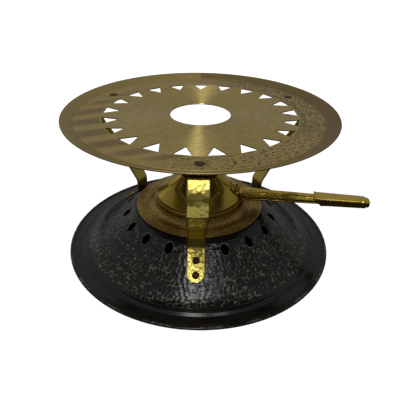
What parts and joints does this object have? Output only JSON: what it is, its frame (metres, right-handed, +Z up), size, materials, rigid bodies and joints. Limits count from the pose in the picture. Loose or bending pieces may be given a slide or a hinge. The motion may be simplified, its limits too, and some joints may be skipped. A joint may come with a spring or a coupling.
{
  "type": "spirit burner stand",
  "caption": "Table rechaud: pierced brass trivet plate on three strap legs over a hammered dark base shell, with a lift-out spirit burner that has a conical hood and a side handle.",
  "frame": {"origin": "on the stand's vertical axis, in the plane of its circular foot", "axes": "+Z up; -Y to the front, where one leg stands; +X to the right, the side the burner's handle points to (7 degrees forward of +X)"},
  "size_m": [0.2631, 0.235, 0.1241],
  "materials": {
    "black_shell": "hammered sheet with a black-brown patina, ridges rubbed to grey",
    "plate_brass": "satin brushed centre, lightly hammered and tarnished outside the cut-outs",
    "strap_brass": "hammered, polished faces",
    "rivet_copper": "dark brown oxidised rivet heads",
    "burner_brass": "spun brass, tan tarnish with brown speckles",
    "polished_brass": "polished with fine scratches and a few stains",
    "handle_brass": "folded sheet, polished shoulders and dull sides",
    "wick_wool": "matted mineral wool",
    "gauze_wire": "woven wire, slightly oxidised"
  },
  "bodies": {
    "stand": {"base_shell": "black_shell", "rim_bead": "black_shell", "trivet_plate": "plate_brass", "leg_front": "strap_brass", "leg_back_right": "strap_brass", "leg_back_left": "strap_brass", "plate_rivets": "rivet_copper", "leg_rivets": "rivet_copper", "rivet_burrs": "rivet_copper"},
    "burner": {"burner_cover": "burner_brass", "reservoir_bowl": "burner_brass", "wick_pad": "wick_wool", "wick_gauze": "gauze_wire", "gauze_ring": "gauze_wire", "damper_pivot": "burner_brass"},
    "regulator": {"damper_disc": "burner_brass", "knurled_collar": "burner_brass"},
    "hood": {"hood_cone": "polished_brass", "handle_bracket": "handle_brass", "bracket_rivets": "rivet_copper", "handle_arm": "handle_brass", "arm_rivet": "handle_brass", "handle_sleeve": "handle_brass", "handle_tongue": "handle_brass"}
  },
  "joints": [
    {"name": "burner_lift", "type": "slide", "parent": "stand", "child": "burner", "axis": [0, 0, 1], "range_m": [0, 0.031]},
    {"name": "damper_turn", "type": "hinge", "parent": "burner", "child": "regulator", "pos_m": [0, 0, 0.0447], "axis": [0, 0, 1], "range_deg": [-60, 20]},
    {"name": "hood_lift", "type": "slide", "parent": "regulator", "child": "hood", "axis": [0, 0, 1], "range_m": [0, 0.016]}
  ]
}
